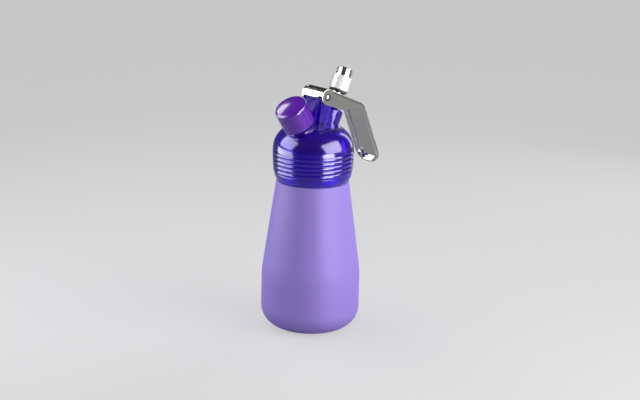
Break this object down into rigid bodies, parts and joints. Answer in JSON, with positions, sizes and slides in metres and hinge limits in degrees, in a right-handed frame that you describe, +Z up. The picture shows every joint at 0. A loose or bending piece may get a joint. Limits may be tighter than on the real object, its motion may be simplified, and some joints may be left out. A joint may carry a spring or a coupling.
{
  "type": "whipped cream dispenser",
  "caption": "Gas-charged cream dispenser: lacquered bottle, translucent screw-on head with slanted charger port and cap, squeeze lever and a tilted sprung valve stem with threaded tip.",
  "frame": {"origin": "centre of the bottle's base, on the surface it stands on", "axes": "+Z up the bottle; the lever and the tip lean towards +X, the charger port leans towards -X, +Y across the lever"},
  "size_m": [0.1025, 0.0758, 0.2005],
  "materials": {
    "bottle_lacquer": "soft-touch matte lavender lacquer",
    "head_violet": "polished translucent violet",
    "cap_purple": "polished",
    "lever_chrome": "polished chrome plating",
    "pin_steel": "polished",
    "sleeve_white": "smooth moulded",
    "tip_chrome": "polished chrome plating",
    "valve_steel": "turned",
    "stud_brass": "turned, nickel flash",
    "seal_silicone": "satin translucent silicone",
    "bush_acetal": "satin",
    "spring_steel": "drawn wire"
  },
  "bodies": {
    "bottle": {"bottle_shell": "bottle_lacquer"},
    "gasket": {"head_gasket": "seal_silicone"},
    "head": {"head_shell": "head_violet", "inlet_stud": "stud_brass", "inlet_seal_ring": "seal_silicone", "inlet_lock_nut": "stud_brass", "piercing_pin": "valve_steel", "check_valve_sleeve": "seal_silicone", "valve_bush": "bush_acetal", "bush_seal_ring": "seal_silicone", "spring_washer": "valve_steel", "return_spring": "spring_steel", "pivot_bushes": "bush_acetal"},
    "liner": {"cap_liner": "seal_silicone"},
    "cap": {"charger_port_cap": "cap_purple"},
    "lever": {"lever": "lever_chrome", "pivot_pin": "pin_steel"},
    "stem": {"valve_stem": "valve_steel", "stem_seal_ring": "seal_silicone", "plug_seal": "seal_silicone", "valve_plug": "valve_steel", "rocker_washer": "bush_acetal", "stem_nut": "valve_steel", "nozzle_sleeve": "sleeve_white", "nozzle_tip": "tip_chrome"}
  },
  "joints": [
    {"name": "head_lift", "type": "slide", "parent": "bottle", "child": "gasket", "axis": [0, 0, 1], "range_m": [0, 0.012]},
    {"name": "head_turn", "type": "hinge", "parent": "gasket", "child": "head", "pos_m": [0, 0, 0.13], "axis": [0, 0, 1], "range_deg": [0, 1080]},
    {"name": "cap_lift", "type": "slide", "parent": "head", "child": "liner", "axis": [-0.5373, 0, 0.8434], "range_m": [0, 0.006]},
    {"name": "cap_turn", "type": "hinge", "parent": "liner", "child": "cap", "pos_m": [0, 0, 0.137], "axis": [-0.5373, 0, 0.8434], "range_deg": [0, 1080]},
    {"name": "lever_squeeze", "type": "hinge", "parent": "head", "child": "lever", "pos_m": [0.0033, 0, 0.1813], "axis": [0, 1, 0], "range_deg": [0, 10], "stiffness_Nm_per_rad": 1, "springref_deg": -14.32},
    {"name": "valve_slide", "type": "slide", "parent": "head", "child": "stem", "axis": [-0.4384, 0, -0.8988], "range_m": [0, 0.0034], "deforming": ["return_spring"]}
  ],
  "couplings": [
    {"joint": "head_lift", "follows": "head_turn", "m_per_rad": 0.00063662},
    {"joint": "cap_lift", "follows": "cap_turn", "m_per_rad": 0.00031831},
    {"joint": "valve_slide", "follows": "lever_squeeze", "m_per_rad": 0.0192}
  ]
}
